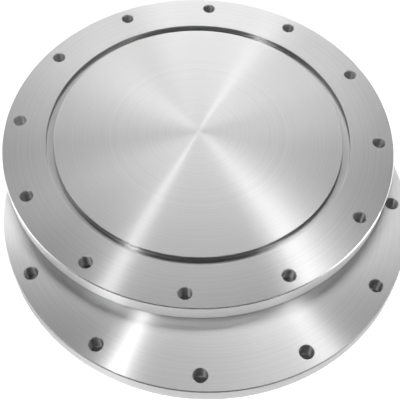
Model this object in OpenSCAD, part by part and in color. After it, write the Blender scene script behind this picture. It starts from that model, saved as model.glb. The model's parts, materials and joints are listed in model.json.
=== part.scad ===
// Blind flange for a clamped vacuum joint, as a pair laid one on the other.
// Each flange is one turned plate: a ring of plain bolt holes, and on its
// sealing side a groove that locates the centring ring.
// The lower flange lies with its plain back up, the upper one with its
// sealing side up. The origin is the middle of the lower flange's underside.

/* [Plate] */
// Outside diameter of a flange
flange_d = 335; // [330:1:400]
// Thickness of a flange
flange_t = 16; // [12:0.5:30]
// Width of the bevel on the two outside edges
rim_bevel = 0.8; // [0.2:0.1:1.5]

/* [Bolt holes] */
// Number of bolt holes
hole_count = 12; // [4:1:24]
// Diameter of a bolt hole
hole_d = 11; // [6:0.5:13]
// Diameter of the circle through the middles of the holes
bolt_circle_d = 310; // [302:1:312]
// Width of the bevel at both ends of a hole
hole_bevel = 0.4; // [0.1:0.1:0.6]

/* [Centring groove] */
// Outside diameter of the groove
groove_d = 261; // [200:1:280]
// Width of the groove, from wall to wall
groove_w = 6.5; // [3:0.5:12]
// Depth of the groove
groove_depth = 4.2; // [2:0.1:8]
// Width of the bevel on the two edges of the groove
groove_bevel = 0.3; // [0.1:0.1:0.6]
// Radius in the two bottom corners of the groove, left by the tool's nose
groove_nose_r = 0.5; // [0.2:0.1:1]

/* [Stacking] */
// How far the upper flange lies to the right of the lower one
stack_x = -8; // [-40:1:40]
// How far the upper flange lies behind the lower one
stack_y = 57; // [0:1:120]
// Turn of the upper flange about its own axis
upper_turn = 27.8; // [0:0.1:30]
// Turn of the lower flange about its own axis, before it is laid face down
lower_turn = 0.3; // [0:0.1:30]

/* [Hidden] */
$fn = 180;
flange_r = flange_d / 2;
hole_r = hole_d / 2;
groove_r = groove_d / 2;
groove_inner_r = groove_r - groove_w;
groove_floor = flange_t - groove_depth;
// How far a cut runs past the face that it opens through
overrun = 1;
steel = [0.77, 0.78, 0.79];
darker_steel = [0.69, 0.70, 0.72];

// Half section of the plain disc, with its outside edges bevelled
module disc_section() {
    polygon([
        [0, 0],
        [flange_r - rim_bevel, 0],
        [flange_r, rim_bevel],
        [flange_r, flange_t - rim_bevel],
        [flange_r - rim_bevel, flange_t],
        [0, flange_t]
    ]);
}

// Section of the groove: straight walls and a floor with rounded corners
module groove_section() {
    translate([groove_inner_r, groove_floor + groove_nose_r])
        square([groove_w, groove_depth - groove_nose_r + overrun]);
    translate([groove_inner_r + groove_nose_r, groove_floor])
        square([groove_w - 2 * groove_nose_r, groove_depth]);
    for (corner_r = [groove_inner_r + groove_nose_r, groove_r - groove_nose_r])
        translate([corner_r, groove_floor + groove_nose_r])
            circle(r = groove_nose_r, $fn = 24);
}

// Section of the bevels that open the mouth of the groove
module groove_bevel_section() {
    polygon([
        [groove_inner_r, flange_t - groove_bevel],
        [groove_inner_r - groove_bevel - overrun, flange_t + overrun],
        [groove_r + groove_bevel + overrun, flange_t + overrun],
        [groove_r, flange_t - groove_bevel]
    ]);
}

// One bolt hole on the Z axis, with a bevel at each end
module bolt_hole() {
    bevel_run = hole_bevel + overrun;
    translate([0, 0, -overrun])
        cylinder(r = hole_r, h = flange_t + 2 * overrun, $fn = 48);
    translate([0, 0, -overrun])
        cylinder(r1 = hole_r + bevel_run, r2 = hole_r, h = bevel_run, $fn = 48);
    translate([0, 0, flange_t - hole_bevel])
        cylinder(r1 = hole_r, r2 = hole_r + bevel_run, h = bevel_run, $fn = 48);
}

// One flange on the Z axis, sealing side up, with its first hole at this turn
module flange(turn) {
    difference() {
        rotate_extrude()
            difference() {
                disc_section();
                groove_section();
                groove_bevel_section();
            }
        for (i = [0 : hole_count - 1])
            rotate([0, 0, turn + i * 360 / hole_count])
                translate([bolt_circle_d / 2, 0, 0])
                    bolt_hole();
    }
}

// Lies on its sealing face, so its plain back is on top
module lower_flange() {
    color(darker_steel)
        translate([0, 0, flange_t])
            rotate([180, 0, 0])
                flange(lower_turn);
}

// Lies loose on the lower flange, with its sealing face on top
module upper_flange() {
    color(steel)
        translate([stack_x, stack_y, flange_t])
            flange(upper_turn);
}

lower_flange();
upper_flange();
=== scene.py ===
import json
import math

import bpy
from mathutils import Matrix, Quaternion, Vector


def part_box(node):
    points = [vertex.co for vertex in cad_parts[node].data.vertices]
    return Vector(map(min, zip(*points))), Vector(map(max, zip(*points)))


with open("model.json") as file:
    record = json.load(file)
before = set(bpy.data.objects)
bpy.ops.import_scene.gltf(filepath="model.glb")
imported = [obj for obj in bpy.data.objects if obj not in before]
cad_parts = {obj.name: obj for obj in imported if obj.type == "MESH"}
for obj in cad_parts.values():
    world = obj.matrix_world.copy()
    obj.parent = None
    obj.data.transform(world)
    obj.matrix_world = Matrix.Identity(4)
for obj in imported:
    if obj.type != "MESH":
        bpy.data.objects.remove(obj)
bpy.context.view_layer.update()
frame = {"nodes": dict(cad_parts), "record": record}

# ---------------------------------------------------------------- the design's sizes, in metres

UPPER_LOW, UPPER_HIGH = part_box("upper_flange")
MOUNTS = {mount["name"]: mount for mount in frame["record"]["mounts"]}
BOLT_CIRCLE = MOUNTS["upper_bolt_circle"]["dims"]

FLANGE_RADIUS = (UPPER_HIGH.x - UPPER_LOW.x) / 2
HOLE_CIRCLE_RADIUS = BOLT_CIRCLE["pcd_mm"] / 2000
HOLE_RADIUS = BOLT_CIRCLE["hole_r_mm"] / 1000
HOLE_COUNT = BOLT_CIRCLE["count"]
UPPER_AXIS = Vector(MOUNTS["upper_bolt_circle"]["pos_m"])
LOWER_AXIS = Vector(MOUNTS["lower_bolt_circle"]["pos_m"])
UPPER_FACE_CENTRE = Vector((UPPER_AXIS.x, UPPER_AXIS.y, UPPER_HIGH.z))
GROOVE_RADIUS = 0.1305
GROOVE_BEVEL = 0.0003
RIM_BEVEL = 0.0008
HOLE_BEVEL = 0.0004
UPPER_FIRST_HOLE = math.radians(27.8)
LOWER_FIRST_HOLE = math.radians(-0.3)

# ---------------------------------------------------------------- camera

# The lens, view and aim come from a fit to the upper flange's outlines and holes in the photo
SENSOR_WIDTH_MM = 36
LENS_MM = 66.1
VIEW_ELEVATION = math.radians(56.1)
VIEW_ROLL = math.radians(1.8)
VIEW_DISTANCE = 0.593
# Where the optical axis meets the upper flange's top face, from that flange's axis
AIM_OFFSET = Vector((0.003, -0.071, 0))


def add_camera():
    """The camera looks from the front and well above, turned a little about its own axis."""
    back = Vector((0, -math.cos(VIEW_ELEVATION), math.sin(VIEW_ELEVATION)))
    roll = Quaternion((0, 0, 1), VIEW_ROLL)
    data = bpy.data.cameras.new("camera")
    data.sensor_width = SENSOR_WIDTH_MM
    data.lens = LENS_MM
    camera = bpy.data.objects.new("camera", data)
    camera.rotation_mode = "QUATERNION"
    camera.rotation_quaternion = back.to_track_quat("Z", "Y") @ roll
    camera.location = UPPER_FACE_CENTRE + AIM_OFFSET + VIEW_DISTANCE * back
    bpy.context.scene.collection.objects.link(camera)
    bpy.context.scene.camera = camera


# ---------------------------------------------------------------- node helpers

# How many finer layers the noise of the marks and of the patches has
MARK_DETAIL = 1.0
PATCH_DETAIL = 3.0


class Nodes:
    """Short ways to add nodes to one tree and to join them."""

    def __init__(self, tree):
        self.tree = tree
        tree.nodes.clear()

    def add(self, kind, **settings):
        node = self.tree.nodes.new(kind)
        for name, value in settings.items():
            setattr(node, name, value)
        return node

    def put(self, value, socket):
        """Link a socket to this one, or set this one to a constant."""
        if isinstance(value, bpy.types.NodeSocket):
            self.tree.links.new(value, socket)
        else:
            socket.default_value = value

    def math(self, operation, *values):
        node = self.add("ShaderNodeMath", operation=operation)
        for value, socket in zip(values, node.inputs):
            self.put(value, socket)
        return node.outputs["Value"]

    def vector(self, operation, *values):
        node = self.add("ShaderNodeVectorMath", operation=operation)
        for value, socket in zip(values, node.inputs):
            self.put(value, socket)
        return node.outputs["Value" if operation == "LENGTH" else "Vector"]

    def split(self, vector):
        node = self.add("ShaderNodeSeparateXYZ")
        self.put(vector, node.inputs["Vector"])
        return node.outputs["X"], node.outputs["Y"], node.outputs["Z"]

    def join(self, x, y, z=0.0):
        node = self.add("ShaderNodeCombineXYZ")
        for value, name in ((x, "X"), (y, "Y"), (z, "Z")):
            self.put(value, node.inputs[name])
        return node.outputs["Vector"]

    def mix(self, share, a, b):
        """a where share is 0 and b where it is 1."""
        step = self.math("SUBTRACT", b, a)
        return self.math("ADD", a, self.math("MULTIPLY", share, step))

    def blend(self, share, a, b):
        """As mix, for vectors."""
        node = self.add("ShaderNodeMix", data_type="VECTOR")
        sockets = {socket.name: socket for socket in node.inputs if socket.enabled}
        for value, name in ((share, "Factor"), (a, "A"), (b, "B")):
            self.put(value, sockets[name])
        return [socket for socket in node.outputs if socket.enabled][0]

    def sum(self, *values):
        total = values[0]
        for value in values[1:]:
            total = self.math("ADD", total, value)
        return total

    def swing(self, noise, width):
        """A noise value, moved to swing about 0 and scaled to this width."""
        return self.math("MULTIPLY", self.math("SUBTRACT", noise, 0.5), width)

    def rings(self, radius, spacing):
        """A value about 0.5 that changes only with the radius, once or so in each spacing."""
        noise = self.add("ShaderNodeTexNoise", noise_dimensions="1D")
        self.put(self.math("DIVIDE", radius, spacing), noise.inputs["W"])
        noise.inputs["Scale"].default_value = 1.0
        noise.inputs["Detail"].default_value = MARK_DETAIL
        return noise.outputs["Fac"]

    def cloud(self, place, size):
        """A value about 0.5 that changes over the surface in patches of this size."""
        noise = self.add("ShaderNodeTexNoise", noise_dimensions="3D")
        self.put(place, noise.inputs["Vector"])
        noise.inputs["Scale"].default_value = 1 / size
        noise.inputs["Detail"].default_value = PATCH_DETAIL
        return noise.outputs["Fac"]


# ---------------------------------------------------------------- turned steel

# Spacing of the turning marks and size of the patches, in metres
FINE_MARK = 0.0011
BROAD_MARK = 0.005
PATCH = 0.05
MARK_DEPTH = 0.000001
# How many times deeper the broad marks are than the fine ones
BROAD_DEPTH = 2.0
# How far the marks and patches swing the steel's grey and its roughness
FINE_SHADE = 0.12
BROAD_SHADE = 0.03
PATCH_SHADE = 0.02
BROAD_DULLNESS = 0.004
PATCH_DULLNESS = 0.006
# A surface whose normal's upright part is below the first is a wall, and above the second a face
WALL_UPRIGHT = 0.35
FACE_UPRIGHT = 0.95
FACE_ROUGHNESS = 0.28
EDGE_ROUGHNESS = 0.5
RIM_BEVEL_ROUGHNESS = 0.12
# Painted highlight: the groove's bevels are made white, a thin bright line at the groove's edge
GROOVE_BEVEL_PAINTED_HIGHLIGHT = 1.0
# Painted shade: every wall is greyed down to this, and as the holes and the rims get greys of their own,
# it stays on the groove's walls
GROOVE_WALL_PAINTED_SHADE = 0.5
# Painted light: the bolt holes' walls and bevels are set lighter than the faces, so the hollows look lit
HOLE_PAINTED_LIGHT = 0.92


def from_nearest_hole(n, place, first_hole):
    """From the nearest bolt hole's axis to the place, flat: the holes are one, folded round the flange."""
    x, y, _ = n.split(place)
    step = 2 * math.pi / HOLE_COUNT
    turn = n.math("SUBTRACT", n.math("ARCTAN2", y, x), first_hole)
    nearest = n.math("MULTIPLY", n.math("ROUND", n.math("DIVIDE", turn, step)), step)
    angle = n.math("ADD", nearest, first_hole)
    axis_x = n.math("MULTIPLY", n.math("COSINE", angle), HOLE_CIRCLE_RADIUS)
    axis_y = n.math("MULTIPLY", n.math("SINE", angle), HOLE_CIRCLE_RADIUS)
    return n.join(n.math("SUBTRACT", x, axis_x), n.math("SUBTRACT", y, axis_y))


def edge_masks(n, radius, normal):
    """Shares that are 1 on all walls, on the rim, on the rim's bevels and on the groove's bevels."""
    _, _, upright = n.split(n.vector("ABSOLUTE", normal))
    wall = n.math("LESS_THAN", upright, WALL_UPRIGHT)
    not_wall = n.math("GREATER_THAN", upright, WALL_UPRIGHT)
    slope = n.math("MULTIPLY", not_wall, n.math("LESS_THAN", upright, FACE_UPRIGHT))
    outside = n.math("GREATER_THAN", radius, FLANGE_RADIUS - RIM_BEVEL)
    inside = n.math("LESS_THAN", radius, GROOVE_RADIUS + GROOVE_BEVEL)
    rim = n.math("MULTIPLY", wall, outside)
    rim_bevel = n.math("MULTIPLY", slope, outside)
    groove_bevel = n.math("MULTIPLY", slope, inside)
    return wall, rim, rim_bevel, groove_bevel


def marks_bump(n, fine, broad):
    """The turning marks' relief, as a shading normal."""
    bump = n.add("ShaderNodeBump")
    bump.inputs["Strength"].default_value = 1.0
    bump.inputs["Distance"].default_value = MARK_DEPTH
    n.put(n.math("ADD", fine, n.math("MULTIPLY", broad, BROAD_DEPTH)), bump.inputs["Height"])
    return bump.outputs["Normal"]


def turned_steel(name, axis, first_hole, face_grey, rim_painted_light):
    """Stainless steel cut on a lathe.

    Fine marks run round the flange's axis, and round a hole's own axis inside the hole.
    """
    material = bpy.data.materials.new(name)
    material.use_nodes = True
    n = Nodes(material.node_tree)
    coordinates = n.add("ShaderNodeTexCoord")
    normal = coordinates.outputs["Normal"]
    place = n.vector("SUBTRACT", coordinates.outputs["Object"], (axis.x, axis.y, 0))
    x, y, _ = n.split(place)
    from_axis = n.join(x, y)
    radius = n.vector("LENGTH", from_axis)

    from_hole = from_nearest_hole(n, place, first_hole)
    in_hole = n.math("LESS_THAN", n.vector("LENGTH", from_hole), HOLE_RADIUS + HOLE_BEVEL)
    outward_x, outward_y, _ = n.split(n.blend(in_hole, from_axis, from_hole))
    along_marks = n.join(n.math("MULTIPLY", outward_y, -1.0), outward_x)
    across_marks = n.vector("CROSS_PRODUCT", along_marks, normal)

    fine = n.rings(radius, FINE_MARK)
    broad = n.rings(radius, BROAD_MARK)
    patch = n.cloud(place, PATCH)
    wall, rim, rim_bevel, groove_bevel = edge_masks(n, radius, normal)

    shade = n.sum(
        face_grey, n.swing(fine, FINE_SHADE), n.swing(broad, BROAD_SHADE), n.swing(patch, PATCH_SHADE)
    )
    # Painted shade: the walls are greyed down, which darkens the groove
    shade = n.mix(wall, shade, GROOVE_WALL_PAINTED_SHADE)
    # Painted light in the bolt holes
    shade = n.mix(in_hole, shade, HOLE_PAINTED_LIGHT)
    # Painted light: the rim's grey is set for how bright this flange's rim looks in its own light
    shade = n.mix(rim, shade, rim_painted_light)
    # Painted highlight on the groove's bevels
    shade = n.mix(groove_bevel, shade, GROOVE_BEVEL_PAINTED_HIGHLIGHT)

    edge = n.math("MAXIMUM", n.math("MAXIMUM", rim, in_hole), groove_bevel)
    dullness = n.mix(edge, FACE_ROUGHNESS, EDGE_ROUGHNESS)
    dullness = n.mix(rim_bevel, dullness, RIM_BEVEL_ROUGHNESS)
    dullness = n.sum(dullness, n.swing(broad, BROAD_DULLNESS), n.swing(patch, PATCH_DULLNESS))

    steel = n.add("ShaderNodeBsdfPrincipled")
    steel.inputs["Metallic"].default_value = 1.0
    steel.inputs["Anisotropic"].default_value = 1.0
    n.put(n.join(shade, shade, shade), steel.inputs["Base Color"])
    n.put(dullness, steel.inputs["Roughness"])
    n.put(marks_bump(n, fine, broad), steel.inputs["Normal"])
    n.put(n.vector("NORMALIZE", across_marks), steel.inputs["Tangent"])
    n.put(steel.outputs["BSDF"], n.add("ShaderNodeOutputMaterial").inputs["Surface"])
    return material


def dress(node, material):
    """The material goes on every slot of the CAD node."""
    for slot in frame["nodes"][node].material_slots:
        slot.material = material


# ---------------------------------------------------------------- floor and light

# How bright the room is to the camera, and in the steel: up high and at the horizon
PALE_ROOM = 0.9
DARK_ROOM = 0.03
PALE_HORIZON = 0.6
# The sines of the elevations where the horizon's paleness starts to fade and where it is gone
HORIZON_EDGE = 0.12
HORIZON_TOP = 0.40
FLOOR_SIZE = 30
FLOOR_DROP = 0.0003
FLOOR_GREY = 0.9
FLOOR_LIGHT_STRENGTH = 6.4
FLOOR_LIGHT_SPREAD = math.radians(30)
FLOOR_LIGHT_AZIMUTH = 270
FLOOR_LIGHT_ELEVATION = 45
# From the middle of the upper flange's top face to a softbox
LIGHT_DISTANCE = 2.0


def add_floor():
    """A wide pale floor just under the lower flange."""
    bpy.ops.mesh.primitive_plane_add(size=FLOOR_SIZE, location=(0, 0, -FLOOR_DROP))
    floor = bpy.context.object
    floor.name = "floor"
    material = bpy.data.materials.new("floor_white")
    material.use_nodes = True
    n = Nodes(material.node_tree)
    paint = n.add("ShaderNodeBsdfDiffuse")
    paint.inputs["Color"].default_value = (FLOOR_GREY, FLOOR_GREY, FLOOR_GREY, 1)
    n.put(paint.outputs["BSDF"], n.add("ShaderNodeOutputMaterial").inputs["Surface"])
    floor.data.materials.append(material)


def direction(azimuth, elevation=0.0):
    """The unit vector towards this azimuth, from +X towards +Y, and elevation, both in degrees."""
    around = math.radians(azimuth)
    up = math.radians(elevation)
    return Vector((math.cos(around) * math.cos(up), math.sin(around) * math.cos(up), math.sin(up)))


def softbox(flange, name, azimuth, elevation, length, width, along, radiance):
    """An even rectangular light on one flange. Its long side runs along an azimuth."""
    away = direction(azimuth, elevation)
    side = direction(along)
    side = (side - away * side.dot(away)).normalized()
    turn = Matrix((side, away.cross(side), away)).transposed()
    data = bpy.data.lights.new(name, "AREA")
    data.shape = "RECTANGLE"
    data.size = length
    data.size_y = width
    data.energy = radiance * math.pi * length * width
    light = bpy.data.objects.new(name, data)
    place = UPPER_FACE_CENTRE + LIGHT_DISTANCE * away
    light.matrix_world = Matrix.Translation(place) @ turn.to_4x4()
    light.visible_camera = False
    lit = bpy.data.collections.new(name + "_lights")
    lit.objects.link(frame["nodes"][flange])
    light.light_linking.receiver_collection = lit
    bpy.context.scene.collection.objects.link(light)


def add_softboxes():
    """The photo shows each flange in a light of its own, with neither in the other's shadow.

    After the name: azimuth, elevation, length, width, azimuth of the long side, and radiance.
    Most values of the upper back, left and mirror line lights and of the four streak lights were
    made by a scratch program that fitted them to the photo's brightness. The rest are set one by
    one.
    """
    softbox("upper_flange", "upper_back", 87.4, 22.8, 0.85, 1.59, 43.5, 1.41)
    softbox("upper_flange", "upper_back_left", 119.9, 16.7, 1.8, 1.19, -24.7, 1.2)
    softbox("upper_flange", "upper_back_right", 70.5, 44.8, 0.27, 0.27, 0, 1.07)
    softbox("upper_flange", "upper_mirror_line", 92.3, 52.8, 0.35, 0.37, 0, 2.3)
    softbox("upper_flange", "upper_left", 163.9, 20, 2.2, 2.16, 16, 0.5)
    softbox("upper_flange", "upper_narrow_streak", 215, 59.0, 1.2, 0.05, 244.3, 22)
    softbox("upper_flange", "upper_broad_streak", 24.6, 68.5, 2.6, 0.08, 290.5, 4.0)
    softbox("upper_flange", "upper_front", 270, 7, 3.4, 0.5, 0, 2.8)
    softbox("upper_flange", "upper_front_left", 205, 7, 2.4, 0.5, 115, 0.8)
    softbox("upper_flange", "upper_front_right", 335, 7, 2.4, 0.5, 65, 1.8)
    softbox("lower_flange", "lower_back", 98, 55, 1.6, 0.5, 0, 1.7)
    softbox("lower_flange", "lower_over", 90, 82, 0.9, 0.4, 0, 1.0)
    softbox("lower_flange", "lower_narrow_streak", 216.4, 65.5, 1.31, 0.05, 242.4, 18)
    softbox("lower_flange", "lower_broad_streak", 36.2, 70.2, 1.94, 0.16, 309.5, 2.05)


def add_floor_light():
    """A soft, even light on the floor from the front. The steel doesn't mirror it."""
    data = bpy.data.lights.new("floor_light", "SUN")
    data.energy = FLOOR_LIGHT_STRENGTH
    data.angle = FLOOR_LIGHT_SPREAD
    light = bpy.data.objects.new("floor_light", data)
    away = direction(FLOOR_LIGHT_AZIMUTH, FLOOR_LIGHT_ELEVATION)
    light.rotation_mode = "QUATERNION"
    light.rotation_quaternion = away.to_track_quat("Z", "Y")
    light.visible_glossy = False
    bpy.context.scene.collection.objects.link(light)


def add_world():
    """A pale room for the camera. The steel reflects a dark one with a pale horizon all round."""
    world = bpy.data.worlds.new("room")
    bpy.context.scene.world = world
    world.use_nodes = True
    n = Nodes(world.node_tree)
    _, _, height = n.split(n.add("ShaderNodeTexCoord").outputs["Generated"])
    horizon = n.add("ShaderNodeMapRange", interpolation_type="SMOOTHSTEP")
    n.put(height, horizon.inputs["Value"])
    horizon.inputs["From Min"].default_value = HORIZON_TOP
    horizon.inputs["From Max"].default_value = HORIZON_EDGE
    horizon.inputs["To Min"].default_value = DARK_ROOM
    horizon.inputs["To Max"].default_value = PALE_HORIZON
    seen = n.add("ShaderNodeLightPath").outputs["Is Camera Ray"]
    level = n.mix(seen, horizon.outputs["Result"], PALE_ROOM)
    room = n.add("ShaderNodeBackground")
    n.put(n.join(level, level, level), room.inputs["Color"])
    n.put(room.outputs["Background"], n.add("ShaderNodeOutputWorld").inputs["Surface"])


# ---------------------------------------------------------------- the scene

UPPER_FACE_GREY = 0.79
# Painted light: the rims' greys, set apart from the faces' and from each other for how bright each rim
# looks in its own light
UPPER_RIM_PAINTED_LIGHT = 0.96
LOWER_FACE_GREY = 0.83
LOWER_RIM_PAINTED_LIGHT = 0.86

add_camera()
add_floor()
add_softboxes()
add_floor_light()
add_world()
dress(
    "upper_flange",
    turned_steel("turned_face_steel", UPPER_AXIS, UPPER_FIRST_HOLE, UPPER_FACE_GREY, UPPER_RIM_PAINTED_LIGHT),
)
dress(
    "lower_flange",
    turned_steel("turned_back_steel", LOWER_AXIS, LOWER_FIRST_HOLE, LOWER_FACE_GREY, LOWER_RIM_PAINTED_LIGHT),
)
bpy.context.scene.view_settings.view_transform = "Standard"
